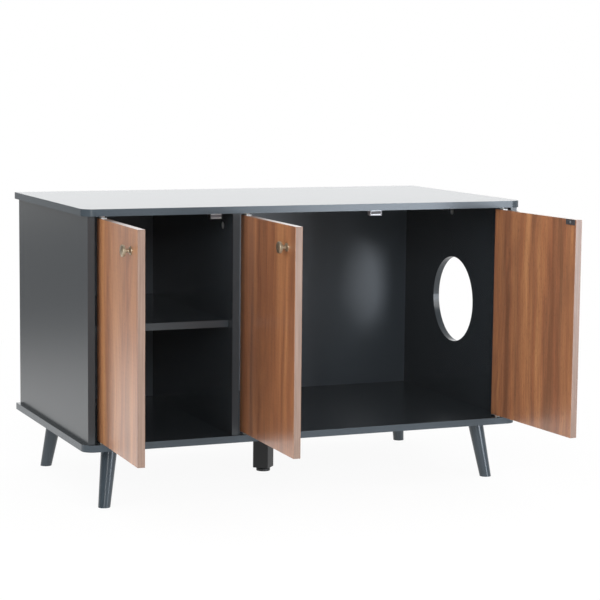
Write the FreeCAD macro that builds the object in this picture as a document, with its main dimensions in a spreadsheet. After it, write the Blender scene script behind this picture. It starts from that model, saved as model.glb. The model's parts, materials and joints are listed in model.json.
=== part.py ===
"""A low cabinet that hides a litter box.

Two bays stand side by side between a top and a bottom panel: a narrow one with a shelf on the left
and a wide one on the right, entered by a cat through a round hole in the right side panel. Three
doors turn on upright pins let into the top and bottom panels. Four splayed legs and a square centre
post with a levelling foot carry the cabinet.

Millimetres and degrees. The origin is on the floor under the middle of the top panel, +X points to
the right, the doors face -Y and +Z points up. The doors are drawn as they stand open.
"""

import FreeCAD, Part
import os
import re

import Sketcher

# ---------------------------------------------------------------------------------------------
# Driving sizes: name, value, what it measures
# ---------------------------------------------------------------------------------------------

SIZES = (
    # carcass
    ("width", 1020.0, "top and bottom panels, left to right"),
    ("depth", 555.0, "top and bottom panels, front to back"),
    ("body_height", 506.0, "underside of the bottom panel to the upper side of the top panel"),
    ("leg_height", 127.0, "floor to the underside of the bottom panel"),
    ("board", 15.0, "thickness of the carcass boards"),
    ("side_overhang", 10.0, "top and bottom panels past each side panel"),
    ("front_setback", 7.0, "uprights behind the front edge of the top panel"),
    ("corner_radius", 25.0, "front corners of the top and bottom panels"),
    ("left_bay_width", 304.0, "left side panel to divider"),
    ("cat_hole_diameter", 202.0, "round entrance in the right side panel"),
    ("back_thickness", 5.0, "back boards"),
    ("back_inset", 12.0, "back boards in from the rear edge"),
    ("groove_depth", 5.0, "grooves that hold the back boards"),
    ("groove_gap", 0.2, "clearance, back board to each wall of its groove"),
    # shelf
    ("shelf_setback", 25.0, "shelf behind the front of the uprights"),
    ("shelf_level", 231.0, "bay floor to the underside of the shelf"),
    ("shelf_gap", 0.5, "clearance, shelf to the uprights and the back board"),
    ("shelf_pin_diameter", 5.0, "shelf pins"),
    ("shelf_pin_in_wall", 8.0, "shelf pin inside the upright"),
    ("shelf_pin_reach", 9.0, "shelf pin under the shelf"),
    ("shelf_pin_inset", 50.0, "shelf pins in from the shelf's front and rear edges"),
    ("shelf_rest_width", 8.0, "flat rest on a shelf pin"),
    ("shelf_rest_thickness", 2.0, "flat rest on a shelf pin"),
    # doors
    ("door_thickness", 15.0, "doors"),
    ("door_side_gap", 2.7, "clearance, door to upright and door to door"),
    ("door_end_gap", 4.9, "clearance, door to the top and bottom panels"),
    ("door_edge_radius", 2.0, "upright edges on a door's hinge side"),
    ("pivot_inset", 16.0, "hinge edge of a door to its pin's axis"),
    ("left_door_angle", 91.7, "left door, how far it stands open"),
    ("middle_door_angle", 91.5, "middle door, how far it stands open"),
    ("right_door_angle", 93.2, "right door, how far it stands open"),
    # pivot hinges
    ("plate_thickness", 2.0, "angled hinge plate"),
    ("plate_width", 12.0, "angled hinge plate, across the door's edge"),
    ("plate_reach", 30.0, "hinge plate along the end of the door"),
    ("plate_drop", 22.0, "hinge plate along the hinge edge of the door"),
    ("pin_diameter", 5.0, "hinge pin"),
    ("pin_gap", 0.05, "clearance around a turning pin or stem"),
    ("pin_engagement", 9.0, "hinge pin inside the top or bottom panel"),
    ("bushing_diameter", 8.0, "bushing around a hinge pin"),
    ("bushing_length", 10.0, "bushing around a hinge pin"),
    ("washer_diameter", 11.0, "washer between hinge plate and panel"),
    ("washer_gap", 0.3, "clearance, washer to the panel it runs on"),
    ("plate_screw_offset", 9.5, "pin's axis to the screw in the end of the door"),
    ("plate_screw_drop", 14.0, "end of the door to the screw in its hinge edge"),
    # small screws
    ("screw_diameter", 3.0, "shank of the small countersunk screws"),
    ("screw_head_diameter", 6.0, "head of the small countersunk screws"),
    ("screw_length", 11.0, "small screw beyond the plate it holds"),
    ("recess_length", 3.2, "cross recess in a small screw"),
    ("recess_width", 0.7, "cross recess in a small screw"),
    ("recess_depth", 0.8, "cross recess in a small screw"),
    # knobs
    ("knob_inset", 46.0, "free edge of a door to its knob"),
    ("knob_fall", 44.5, "upper end of a door down to its knob"),
    ("knob_projection", 21.5, "face of the door to the crown of the knob"),
    ("knob_head_diameter", 24.0, "head of a knob"),
    ("knob_crown_height", 3.5, "domed front of a knob's head"),
    ("knob_rim_height", 4.0, "straight rim of a knob's head"),
    ("knob_under_height", 1.5, "rounded back of a knob's head"),
    ("knob_neck_diameter", 8.0, "neck of a knob"),
    ("knob_base_diameter", 17.0, "rosette of a knob"),
    ("knob_base_height", 2.0, "rosette of a knob"),
    ("knob_flare_height", 2.5, "cone between a knob's rosette and neck"),
    ("stud_diameter", 4.0, "threaded stud of a knob"),
    ("stud_in_door", 12.0, "knob stud inside the door"),
    ("stud_in_knob", 8.0, "knob stud inside the knob"),
    # catches and strike plates
    ("strike_length", 33.0, "strike plate"),
    ("strike_height", 11.4, "strike plate"),
    ("strike_thickness", 1.2, "strike plate"),
    ("strike_inset", 3.6, "free edge of a door to its strike plate"),
    ("strike_fall", 0.4, "upper end of a door to its strike plate"),
    ("left_catch_inset", 32.0, "divider to the middle of the left catch"),
    ("catch_width", 27.0, "case of a magnetic catch"),
    ("catch_height", 13.0, "case of a magnetic catch"),
    ("catch_depth", 14.0, "case of a magnetic catch"),
    ("catch_gap", 0.4, "clearance, closed strike plate to the catch's poles"),
    ("ear_span", 46.0, "a catch over both its ears"),
    ("ear_depth", 10.0, "ears of a catch"),
    ("ear_thickness", 2.5, "ears of a catch"),
    ("pole_thickness", 1.2, "steel pole of a catch"),
    ("pole_spacing", 8.0, "middle of one pole to the middle of the other"),
    ("pole_width", 23.0, "steel pole of a catch"),
    ("pole_depth", 12.0, "pole pocket in the case of a catch"),
    ("pole_proud", 0.4, "poles past the face of the case"),
    ("magnet_recess", 1.0, "magnet behind the face of the case"),
    # joints of the carcass
    ("fit_gap", 0.1, "clearance around pins, dowels, bolts and inserts in their bores"),
    ("cam_diameter", 15.0, "cam disc"),
    ("cam_depth", 12.5, "cam disc"),
    ("cam_fall", 30.0, "top panel down to the middle of a cam disc"),
    ("cam_inset", 61.7, "divider's cam discs in from its front and rear edges"),
    ("side_cam_inset", 286.0, "side panel's cam disc in from its front edge"),
    ("cam_slot_length", 8.0, "cross slot in a cam disc"),
    ("cam_slot_width", 1.6, "cross slot in a cam disc"),
    ("cam_slot_depth", 1.5, "cross slot in a cam disc"),
    ("cam_bolt_diameter", 5.0, "bolt that a cam disc pulls"),
    ("cam_bolt_head_diameter", 7.0, "head of a cam bolt"),
    ("cam_bolt_head_length", 3.0, "head of a cam bolt"),
    ("cam_bolt_in_top", 10.0, "cam bolt inside the top panel"),
    ("dowel_diameter", 8.0, "wooden dowels"),
    ("dowel_length", 30.0, "wooden dowels"),
    ("dowel_in_panel", 10.0, "dowel inside the top or bottom panel"),
    ("dowel_inset", 30.0, "dowels in from the front and rear edges of an upright"),
    ("base_screw_diameter", 7.0, "screws up through the bottom panel"),
    ("base_screw_length", 50.0, "screws up through the bottom panel"),
    ("base_head_diameter", 10.0, "heads of the screws in the bottom panel"),
    ("base_head_height", 3.0, "heads of the screws in the bottom panel"),
    ("base_screw_inset", 92.0, "base screws in from the front and rear edges of an upright"),
    # legs
    ("leg_top_diameter", 35.5, "leg under the bottom panel"),
    ("leg_foot_diameter", 26.0, "leg on the floor"),
    ("leg_side_inset", 74.0, "leg's middle in from the side of the bottom panel"),
    ("leg_front_inset", 65.0, "front leg's middle in from the front edge"),
    ("leg_rear_inset", 76.0, "back leg's middle in from the rear edge"),
    ("leg_splay_side", 18.5, "foot of a leg further out to the side than its top"),
    ("leg_splay_front", 21.7, "foot of a leg further out to front or rear than its top"),
    ("leg_bolt_diameter", 8.0, "hanger bolt"),
    ("leg_bolt_in_leg", 30.0, "hanger bolt inside a leg or the centre post"),
    ("insert_diameter", 12.0, "threaded insert"),
    ("insert_length", 12.0, "threaded insert in the bottom panel"),
    # centre post and levelling foot
    ("post_width", 37.0, "square centre post"),
    ("post_turn", 47.0, "centre post turned about the upright axis"),
    ("post_edge_radius", 1.5, "upright edges of the centre post"),
    ("post_lift", 8.0, "floor to the underside of the centre post"),
    ("post_insert_length", 20.0, "threaded insert in the centre post"),
    ("foot_diameter", 32.0, "levelling foot"),
    ("foot_thickness", 6.0, "levelling foot"),
    ("foot_edge_radius", 1.5, "upper edge of the levelling foot"),
    ("foot_travel", 1.5, "how far the levelling foot can rise"),
    ("stem_diameter", 8.0, "threaded stem of the levelling foot"),
    ("stem_length", 45.0, "threaded stem of the levelling foot"),
    ("stem_in_foot", 3.0, "stem inside the levelling foot"),
    ("stem_room", 2.0, "clearance above the stem when the foot is fully risen"),
    ("stem_bore_gap", 0.5, "clearance around the stem above its insert"),
)
VALUES = {name: value for name, value, _ in SIZES}

# ---------------------------------------------------------------------------------------------
# Places that several pieces share, as formulas of the sizes
# ---------------------------------------------------------------------------------------------

UPRIGHT_FRONT = "(-depth / 2 + front_setback)"
UPRIGHT_DEPTH = "(depth - front_setback)"
LEFT_FACE = "(-width / 2 + side_overhang + board)"
DIVIDER_LEFT = "(-width / 2 + side_overhang + board + left_bay_width)"
DIVIDER_RIGHT = "(-width / 2 + side_overhang + 2 * board + left_bay_width)"
RIGHT_FACE = "(width / 2 - side_overhang - board)"
RIGHT_BAY_WIDTH = "(width - 2 * side_overhang - 3 * board - left_bay_width)"
BAY_FLOOR = "(leg_height + board)"
BAY_TOP = "(leg_height + body_height - board)"
BAY_HEIGHT = "(body_height - 2 * board)"
BACK_FACE = "(depth / 2 - back_inset - back_thickness)"
SHELF_UNDERSIDE = "(leg_height + board + shelf_level)"
SHELF_FRONT = "(-depth / 2 + front_setback + shelf_setback)"
SHELF_REAR = "(depth / 2 - back_inset - back_thickness - shelf_gap)"
PIVOT_Y = "(-depth / 2 + front_setback + door_thickness / 2)"
CATCH_FACE = (
    "(-depth / 2 + front_setback + door_thickness + strike_thickness + catch_gap + pole_proud)"
)
FOOT_SOCKET = "(foot_thickness - stem_in_foot)"

AXES = {
    "+x": FreeCAD.Rotation(FreeCAD.Vector(0, 1, 0), 90),
    "-x": FreeCAD.Rotation(FreeCAD.Vector(0, 1, 0), -90),
    "+y": FreeCAD.Rotation(FreeCAD.Vector(1, 0, 0), -90),
    "-y": FreeCAD.Rotation(FreeCAD.Vector(1, 0, 0), 90),
    "+z": FreeCAD.Rotation(),
    "-z": FreeCAD.Rotation(FreeCAD.Vector(1, 0, 0), 180),
}
ORIGIN = ("0", "0", "0")

doc = FreeCAD.newDocument("litter_box_cabinet")
sheet = doc.addObject("Spreadsheet::Sheet", "Sizes")
for row, (size_name, size_value, meaning) in enumerate(SIZES, 1):
    sheet.set("A%d" % row, size_name)
    sheet.set("B%d" % row, str(size_value))
    sheet.set("C%d" % row, meaning)
    sheet.setAlias("B%d" % row, size_name)
doc.recompute()

nodes = []


# ---------------------------------------------------------------------------------------------
# Binding and small shapes
# ---------------------------------------------------------------------------------------------

def formula(text):
    """The formula with the sheet's name before each size in it."""
    return re.sub(r"[a-z_]+", lambda m: "Sizes." + m[0] if m[0] in VALUES else m[0], text)


def bind(obj, **formulas):
    """Bind the object's properties to formulas of the sizes."""
    for prop, text in formulas.items():
        obj.setExpression(prop, formula(text))


def place(obj, point, rotation=None, angle=None):
    """Bind the object's place to three formulas, and its turn about +Z where an angle is given."""
    if angle is not None:
        rotation = FreeCAD.Rotation(FreeCAD.Vector(0, 0, 1), 1)
    if rotation is not None:
        obj.Placement = FreeCAD.Placement(FreeCAD.Vector(), rotation)
    for axis, text in zip("xyz", point):
        obj.setExpression("Placement.Base." + axis, formula(text))
    if angle is not None:
        obj.setExpression("Placement.Rotation.Angle", formula(angle))
    return obj


def box(name, sizes, point):
    """A box centred in x and y on the point, and upwards from it."""
    obj = doc.addObject("Part::Box", name)
    bind(obj, Length=sizes[0], Width=sizes[1], Height=sizes[2])
    corner = ("%s - (%s) / 2" % (point[0], sizes[0]), "%s - (%s) / 2" % (point[1], sizes[1]), point[2])
    return place(obj, corner)


def rod(name, radius, length, point, axis="+z"):
    """A cylinder from the point along the axis."""
    obj = doc.addObject("Part::Cylinder", name)
    bind(obj, Radius=radius, Height=length)
    return place(obj, point, AXES[axis])


def cone(name, radius, end_radius, length, point, axis="+z"):
    """A cone from the point along the axis."""
    obj = doc.addObject("Part::Cone", name)
    bind(obj, Radius1=radius, Radius2=end_radius, Height=length)
    return place(obj, point, AXES[axis])


def dome(name, height, radius, point):
    """A flattened ball: the height is its half axis along z, the radius those across it."""
    obj = doc.addObject("Part::Ellipsoid", name)
    bind(obj, Radius1=height, Radius2=radius, Radius3=radius)
    return place(obj, point)


def compound(name, pieces):
    obj = doc.addObject("Part::Compound", name)
    obj.Links = pieces
    return obj


def fuse(name, pieces):
    obj = doc.addObject("Part::MultiFuse", name)
    obj.Shapes = pieces
    obj.Refine = True
    return obj


def cut(name, base, tools):
    obj = doc.addObject("Part::Cut", name)
    obj.Base = base
    obj.Tool = tools[0] if len(tools) == 1 else compound(name + "_tools", tools)
    return obj


def tube(name, radius, bore, length, point, axis="+z"):
    """A ring of the given outer and inner radius from the point along the axis."""
    outer = rod(name + "_outside", radius, length, point, axis)
    inner = rod(name + "_bore", bore, length, point, axis)
    return cut(name, outer, [inner])


def node(obj, label, point=None, angle=None):
    """Give a finished sub-part its name and, where it has one, its place."""
    obj.Label = label
    if point is not None:
        place(obj, point, angle=angle)
    nodes.append(obj)
    return obj


def group(label, pieces, point=ORIGIN, angle=None):
    """One sub-part made of the pieces, which are drawn in its own frame."""
    return node(compound(label, pieces), label, point, angle)


# ---------------------------------------------------------------------------------------------
# Sketched boards: every sketch lies on an origin plane of its own body, at a level above it
# ---------------------------------------------------------------------------------------------

def sketch(body, name, role, level):
    obj = body.newObject("Sketcher::SketchObject", name)
    plane = next(item for item in body.Origin.OriginFeatures if item.Role == role)
    obj.AttachmentSupport = [(plane, "")]
    obj.MapMode = "FlatFace"
    obj.setExpression("AttachmentOffset.Base.z", formula(level))
    return obj


def datum(drawing, kind, text, *where):
    """A dimension of the sketch, bound to the formula."""
    index = drawing.addConstraint(Sketcher.Constraint(kind, *where))
    drawing.setExpression("Constraints[%d]" % index, formula(text))


def draw_rectangle(drawing, x_low, x_high, y_low, y_high):
    first = drawing.GeometryCount
    corners = [FreeCAD.Vector(x, y, 0) for x, y in ((0, 0), (1, 0), (1, 1), (0, 1))]
    for index in range(4):
        drawing.addGeometry(Part.LineSegment(corners[index], corners[(index + 1) % 4]))
    for index in range(4):
        drawing.addConstraint(
            Sketcher.Constraint("Coincident", first + index, 2, first + (index + 1) % 4, 1))
        drawing.addConstraint(Sketcher.Constraint(("Horizontal", "Vertical")[index % 2], first + index))
    datum(drawing, "DistanceX", x_low, -1, 1, first, 1, 0.0)
    datum(drawing, "DistanceY", y_low, -1, 1, first, 1, 0.0)
    datum(drawing, "DistanceX", x_high, -1, 1, first + 1, 2, 1.0)
    datum(drawing, "DistanceY", y_high, -1, 1, first + 1, 2, 1.0)


def draw_circle(drawing, x, y, radius):
    index = drawing.addGeometry(Part.Circle(FreeCAD.Vector(), FreeCAD.Vector(0, 0, 1), 1.0))
    datum(drawing, "DistanceX", x, -1, 1, index, 3, 0.0)
    datum(drawing, "DistanceY", y, -1, 1, index, 3, 0.0)
    datum(drawing, "Radius", radius, index, 1.0)


def draw(drawing, outlines):
    """Rectangles have four numbers (x low, x high, y low, y high), circles three (x, y, radius)."""
    for outline in outlines:
        if len(outline) == 4:
            draw_rectangle(drawing, *outline)
        else:
            draw_circle(drawing, *outline)


def slab(name, role, level, outline, thickness):
    """A new body: the outline at a level of one of its planes, padded by the thickness."""
    body = doc.addObject("PartDesign::Body", name)
    drawing = sketch(body, name + "_outline", role, level)
    draw(drawing, [outline])
    pad = body.newObject("PartDesign::Pad", name + "_pad")
    pad.Profile = drawing
    bind(pad, Length=thickness)
    return body


def drill(body, name, role, level, outlines, depth):
    """Pocket the outlines to the depth on both sides of the level, one of which is air."""
    drawing = sketch(body, "%s_%s_outline" % (body.Name, name), role, level)
    draw(drawing, outlines)
    pocket = body.newObject("PartDesign::Pocket", "%s_%s" % (body.Name, name))
    pocket.Profile = drawing
    pocket.Midplane = True
    bind(pocket, Length="2 * (%s)" % depth)


def round_edges(body, radius, wanted):
    """Fillet the edges of the body so far that the test picks."""
    doc.recompute()
    base = body.Tip
    names = ["Edge%d" % number for number, edge in enumerate(base.Shape.Edges, 1) if wanted(edge)]
    fillet = body.newObject("PartDesign::Fillet", body.Name + "_fillet")
    fillet.Base = (base, names)
    bind(fillet, Radius=radius)


def is_upright(edge):
    box_of_edge = edge.BoundBox
    return box_of_edge.ZLength > 1e-3 and box_of_edge.XLength < 1e-3 and box_of_edge.YLength < 1e-3


def screw(name, point, axis, plate):
    """A countersunk screw from the outer face of a plate, its cone as deep as the plate."""
    head = cone(name + "_head", "screw_head_diameter / 2", "screw_diameter / 2", plate, ORIGIN)
    shank = rod(name + "_shank", "screw_diameter / 2", "screw_length", ("0", "0", plate))
    solid = fuse(name + "_solid", [head, shank])
    recess = [
        box(name + "_slot", ("recess_length", "recess_width", "recess_depth"), ORIGIN),
        box(name + "_cross", ("recess_width", "recess_length", "recess_depth"), ORIGIN),
    ]
    return place(cut(name, solid, recess), point, AXES[axis])


def countersink(name, point, axis, plate):
    """The hole that the screw of the same place needs in its plate."""
    return cone(name, "screw_head_diameter / 2 + fit_gap", "screw_diameter / 2 + fit_gap",
                plate, point, axis)


# ---------------------------------------------------------------------------------------------
# Places of repeated pieces
# ---------------------------------------------------------------------------------------------

UPRIGHT_MIDDLES = (
    "(%s - board / 2)" % LEFT_FACE,
    "(%s + board / 2)" % DIVIDER_LEFT,
    "(%s + board / 2)" % RIGHT_FACE,
)
PIVOTS = {
    "left": "(%s + door_side_gap + pivot_inset)" % LEFT_FACE,
    "middle": "(%s + door_side_gap + pivot_inset)" % DIVIDER_RIGHT,
    "right": "(%s - door_side_gap - pivot_inset)" % RIGHT_FACE,
}
CATCHES = {
    "left": "(%s - left_catch_inset)" % DIVIDER_LEFT,
    "centre": "((%s + %s) / 2)" % (DIVIDER_RIGHT, RIGHT_FACE),
}
LEGS = {
    "front_left": ("-1", "(-depth / 2 + leg_front_inset)", "-1"),
    "front_right": ("1", "(-depth / 2 + leg_front_inset)", "-1"),
    "back_left": ("-1", "(depth / 2 - leg_rear_inset)", "1"),
    "back_right": ("1", "(depth / 2 - leg_rear_inset)", "1"),
}
LEG_TOPS = [("(%s * (width / 2 - leg_side_inset))" % side, y) for side, y, _ in LEGS.values()]
EAR_OFFSET = "((catch_width + ear_span) / 4)"


def front_and_rear(inset):
    """The two places along an upright that lie the inset in from its ends."""
    return [inset, "(%s - %s)" % (UPRIGHT_DEPTH, inset)]


DOWEL_PLACES = front_and_rear("dowel_inset")
BASE_SCREW_PLACES = front_and_rear("base_screw_inset")
DIVIDER_CAMS = front_and_rear("cam_inset")
SHELF_PIN_PLACES = ("(shelf_setback + shelf_pin_inset)",
                    "(%s - %s - shelf_pin_inset)" % (SHELF_REAR, UPRIGHT_FRONT))
# each upright: label, x of its left face, faces towards a bay, face with cams, places of the cams
UPRIGHTS = (
    ("left_side_panel", "(%s - board)" % LEFT_FACE, ("right",), "right", ["side_cam_inset"]),
    ("divider_panel", DIVIDER_LEFT, ("left", "right"), "left", DIVIDER_CAMS),
    ("right_side_panel", RIGHT_FACE, ("left",), "left", ["side_cam_inset"]),
)


def along(place_on_upright):
    """A place along an upright as a y of the whole cabinet."""
    return "(%s + %s)" % (UPRIGHT_FRONT, place_on_upright)


# ---------------------------------------------------------------------------------------------
# Top and bottom panels, drawn around their own underside's middle
# ---------------------------------------------------------------------------------------------

def horizontal_panel(label, level, inner_level):
    """The board, the groove for the backs and the bores that both panels have in common."""
    outline = ("-width / 2", "width / 2", "-depth / 2", "depth / 2")
    panel = slab(label, "XY_Plane", "0", outline, "board")
    front = -VALUES["depth"] / 2
    round_edges(panel, "corner_radius", lambda e: is_upright(e) and abs(e.BoundBox.YMin - front) < 1e-3)
    groove = (
        "%s - groove_depth" % LEFT_FACE,
        "%s + groove_depth" % RIGHT_FACE,
        "%s - groove_gap" % BACK_FACE,
        "%s + back_thickness + groove_gap" % BACK_FACE,
    )
    drill(panel, "groove", "XY_Plane", inner_level, [groove], "groove_depth")
    bushings = [(x, PIVOT_Y, "bushing_diameter / 2 + fit_gap") for x in PIVOTS.values()]
    drill(panel, "bushing_bores", "XY_Plane", inner_level, bushings, "bushing_length")
    dowels = [(x, along(y), "dowel_diameter / 2 + fit_gap")
              for x in UPRIGHT_MIDDLES for y in DOWEL_PLACES]
    drill(panel, "dowel_bores", "XY_Plane", inner_level, dowels, "dowel_in_panel + fit_gap")
    return node(panel, label, ("0", "0", level))


top = horizontal_panel("top_panel", BAY_TOP, "0")
cam_bolt_bores = [
    (middle, along(y), "cam_bolt_diameter / 2 + fit_gap")
    for middle, upright in zip(UPRIGHT_MIDDLES, UPRIGHTS) for y in upright[4]
]
drill(top, "cam_bolt_bores", "XY_Plane", "0", cam_bolt_bores, "cam_bolt_in_top + fit_gap")
catch_screw_places = [
    ("(%s %s %s)" % (x, sign, EAR_OFFSET), "(%s + catch_depth / 2)" % CATCH_FACE)
    for x in CATCHES.values() for sign in "-+"
]
drill(top, "catch_screw_bores", "XY_Plane", "0",
      [(x, y, "screw_diameter / 2 + fit_gap") for x, y in catch_screw_places],
      "screw_length + fit_gap")

bottom = horizontal_panel("bottom_panel", "leg_height", "board")
drill(bottom, "insert_bores", "XY_Plane", "0",
      [(x, y, "insert_diameter / 2 + fit_gap") for x, y in LEG_TOPS + [("0", "0")]],
      "insert_length + fit_gap")
base_screw_places = [(x, along(y)) for x in UPRIGHT_MIDDLES for y in BASE_SCREW_PLACES]
drill(bottom, "base_screw_bores", "XY_Plane", "0",
      [(x, y, "base_screw_diameter / 2 + fit_gap") for x, y in base_screw_places], "board")
drill(bottom, "base_head_bores", "XY_Plane", "0",
      [(x, y, "base_head_diameter / 2 + fit_gap") for x, y in base_screw_places],
      "base_head_height + fit_gap")

# ---------------------------------------------------------------------------------------------
# Uprights, drawn from the lower front corner of their left face
# ---------------------------------------------------------------------------------------------

FACE_LEVEL = {"left": "0", "right": "board"}
GROOVE_IN_UPRIGHT = {"left": ("0", "groove_depth"), "right": ("board - groove_depth", "board")}

for label, left_x, bay_faces, cam_face, cam_places in UPRIGHTS:
    upright = slab(label, "YZ_Plane", "0", ("0", UPRIGHT_DEPTH, "0", BAY_HEIGHT), "board")
    grooves = [
        GROOVE_IN_UPRIGHT[face] + (
            "%s - %s - groove_gap" % (BACK_FACE, UPRIGHT_FRONT),
            "%s - %s + back_thickness + groove_gap" % (BACK_FACE, UPRIGHT_FRONT),
        )
        for face in bay_faces
    ]
    drill(upright, "grooves", "XY_Plane", "0", grooves, BAY_HEIGHT)
    cams = [(y, "%s - cam_fall" % BAY_HEIGHT, "cam_diameter / 2 + fit_gap") for y in cam_places]
    drill(upright, "cam_bores", "YZ_Plane", FACE_LEVEL[cam_face], cams, "cam_depth + fit_gap")
    bolts = [("board / 2", y, "cam_bolt_head_diameter / 2 + fit_gap") for y in cam_places]
    drill(upright, "cam_bolt_bores", "XY_Plane", BAY_HEIGHT, bolts, "cam_fall")
    for end, level in (("upper", BAY_HEIGHT), ("lower", "0")):
        drill(upright, end + "_dowel_bores", "XY_Plane", level,
              [("board / 2", y, "dowel_diameter / 2 + fit_gap") for y in DOWEL_PLACES],
              "dowel_length - dowel_in_panel + fit_gap")
    drill(upright, "base_screw_bores", "XY_Plane", "0",
          [("board / 2", y, "base_screw_diameter / 2 + fit_gap") for y in BASE_SCREW_PLACES],
          "base_screw_length - board + fit_gap")
    if label != "right_side_panel":
        shelf_face = "right" if label == "left_side_panel" else "left"
        drill(upright, "shelf_pin_bores", "YZ_Plane", FACE_LEVEL[shelf_face],
              [(y, "shelf_level - shelf_pin_diameter / 2", "shelf_pin_diameter / 2 + fit_gap")
               for y in SHELF_PIN_PLACES],
              "shelf_pin_in_wall + fit_gap")
    else:
        cat_hole = ("%s / 2" % UPRIGHT_DEPTH, "%s / 2" % BAY_HEIGHT, "cat_hole_diameter / 2")
        drill(upright, "cat_hole", "YZ_Plane", "0", [cat_hole], "board")
    node(upright, label, (left_x, UPRIGHT_FRONT, BAY_FLOOR))

# ---------------------------------------------------------------------------------------------
# Back boards and shelf
# ---------------------------------------------------------------------------------------------

for label, left_x, bay_width in (("back_panel_left", LEFT_FACE, "left_bay_width"),
                                 ("back_panel_right", DIVIDER_RIGHT, RIGHT_BAY_WIDTH)):
    sheet_sizes = (
        "%s + 2 * (groove_depth - groove_gap)" % bay_width,
        "back_thickness",
        "%s + 2 * (groove_depth - groove_gap)" % BAY_HEIGHT,
    )
    back = box(label, sheet_sizes, ("0", "0", "0"))
    node(back, label, ("%s - groove_depth + groove_gap" % left_x, BACK_FACE,
                       "%s - groove_depth + groove_gap" % BAY_FLOOR))

shelf_outline = ("0", "left_bay_width - 2 * shelf_gap", "0", "%s - %s" % (SHELF_REAR, SHELF_FRONT))
node(slab("shelf", "XY_Plane", "0", shelf_outline, "board"), "shelf",
     ("%s + shelf_gap" % LEFT_FACE, SHELF_FRONT, SHELF_UNDERSIDE))

shelf_pins = []
for wall, wall_x, axis, sign in (("left", LEFT_FACE, "+x", "+"), ("divider", DIVIDER_LEFT, "-x", "-")):
    into_wall = "-" if sign == "+" else "+"
    for number, y in enumerate(SHELF_PIN_PLACES, 1):
        name = "%s_shelf_pin_%d" % (wall, number)
        peg = rod(name + "_peg", "shelf_pin_diameter / 2", "shelf_pin_in_wall + shelf_pin_reach",
                  ("%s %s shelf_pin_in_wall" % (wall_x, into_wall), along(y),
                   "%s - shelf_pin_diameter / 2" % SHELF_UNDERSIDE), axis)
        rest = box(name + "_rest", ("shelf_pin_reach", "shelf_rest_width", "shelf_rest_thickness"),
                   ("%s %s shelf_pin_reach / 2" % (wall_x, sign), along(y),
                    "%s - shelf_rest_thickness" % SHELF_UNDERSIDE))
        shelf_pins.append(fuse(name, [peg, rest]))
group("shelf_pins", shelf_pins)

# ---------------------------------------------------------------------------------------------
# Cams, bolts, dowels and base screws
# ---------------------------------------------------------------------------------------------

CAM_LEVEL = "(%s - cam_fall)" % BAY_TOP
cam_discs = []
cam_bolts = []
for (label, left_x, _, cam_face, cam_places), middle in zip(UPRIGHTS, UPRIGHT_MIDDLES):
    for number, y in enumerate(cam_places, 1):
        name = "%s_cam_%d" % (label, number)
        face_x = left_x if cam_face == "left" else "(%s + board)" % left_x
        axis = "+x" if cam_face == "left" else "-x"
        disc = rod(name + "_disc", "cam_diameter / 2", "cam_depth", ORIGIN)
        slots = [
            box(name + "_slot", ("cam_slot_length", "cam_slot_width", "cam_slot_depth"), ORIGIN),
            box(name + "_cross", ("cam_slot_width", "cam_slot_length", "cam_slot_depth"), ORIGIN),
        ]
        slotted = place(cut(name + "_slotted", disc, slots), (face_x, along(y), CAM_LEVEL), AXES[axis])
        bore = rod(name + "_bore", "cam_bolt_head_diameter / 2 + fit_gap", "cam_diameter",
                   (middle, along(y), "%s - fit_gap" % CAM_LEVEL))
        cam_discs.append(cut(name, slotted, [bore]))
        head = rod(name + "_bolt_head", "cam_bolt_head_diameter / 2", "cam_bolt_head_length",
                   (middle, along(y), CAM_LEVEL))
        shank = rod(name + "_bolt_shank", "cam_bolt_diameter / 2", "cam_fall + cam_bolt_in_top",
                    (middle, along(y), CAM_LEVEL))
        cam_bolts.append(fuse(name + "_bolt", [head, shank]))
group("cam_discs", cam_discs)
group("cam_bolts", cam_bolts)

dowels = []
for x in UPRIGHT_MIDDLES:
    for y in DOWEL_PLACES:
        for level in ("%s - dowel_in_panel" % BAY_FLOOR,
                      "%s + dowel_in_panel - dowel_length" % BAY_TOP):
            dowels.append(rod("dowel", "dowel_diameter / 2", "dowel_length", (x, along(y), level)))
group("dowels", dowels)

base_screws = []
for x, y in base_screw_places:
    head = rod("base_screw_head", "base_head_diameter / 2", "base_head_height", (x, y, "leg_height"))
    shank = rod("base_screw_shank", "base_screw_diameter / 2", "base_screw_length",
                (x, y, "leg_height"))
    base_screws.append(fuse("base_screw", [head, shank]))
group("base_screws", base_screws)

# ---------------------------------------------------------------------------------------------
# Legs, drawn down from the middle of their top
# ---------------------------------------------------------------------------------------------

for (name, (side, y, end)), (x, _) in zip(LEGS.items(), LEG_TOPS):
    label = name + "_leg"
    leg = doc.addObject("PartDesign::Body", label)
    leg_top = sketch(leg, label + "_top", "XY_Plane", "0")
    draw_circle(leg_top, "0", "0", "leg_top_diameter / 2")
    leg_foot = sketch(leg, label + "_foot", "XY_Plane", "-leg_height")
    draw_circle(leg_foot, "%s * leg_splay_side" % side, "%s * leg_splay_front" % end,
                "leg_foot_diameter / 2")
    loft = leg.newObject("PartDesign::AdditiveLoft", label + "_loft")
    loft.Profile = leg_top
    loft.Sections = [leg_foot]
    loft.Ruled = True
    drill(leg, "bolt_bore", "XY_Plane", "0", [("0", "0", "leg_bolt_diameter / 2 + fit_gap")],
          "leg_bolt_in_leg + fit_gap")
    node(leg, label, (x, y, "leg_height"))

group("leg_bolts", [
    rod("leg_bolt", "leg_bolt_diameter / 2", "leg_bolt_in_leg + insert_length",
        (x, y, "leg_height - leg_bolt_in_leg"))
    for x, y in LEG_TOPS
])
group("leg_inserts", [
    tube("panel_insert", "insert_diameter / 2", "leg_bolt_diameter / 2 + fit_gap", "insert_length",
         (x, y, "leg_height"))
    for x, y in LEG_TOPS + [("0", "0")]
])

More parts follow.
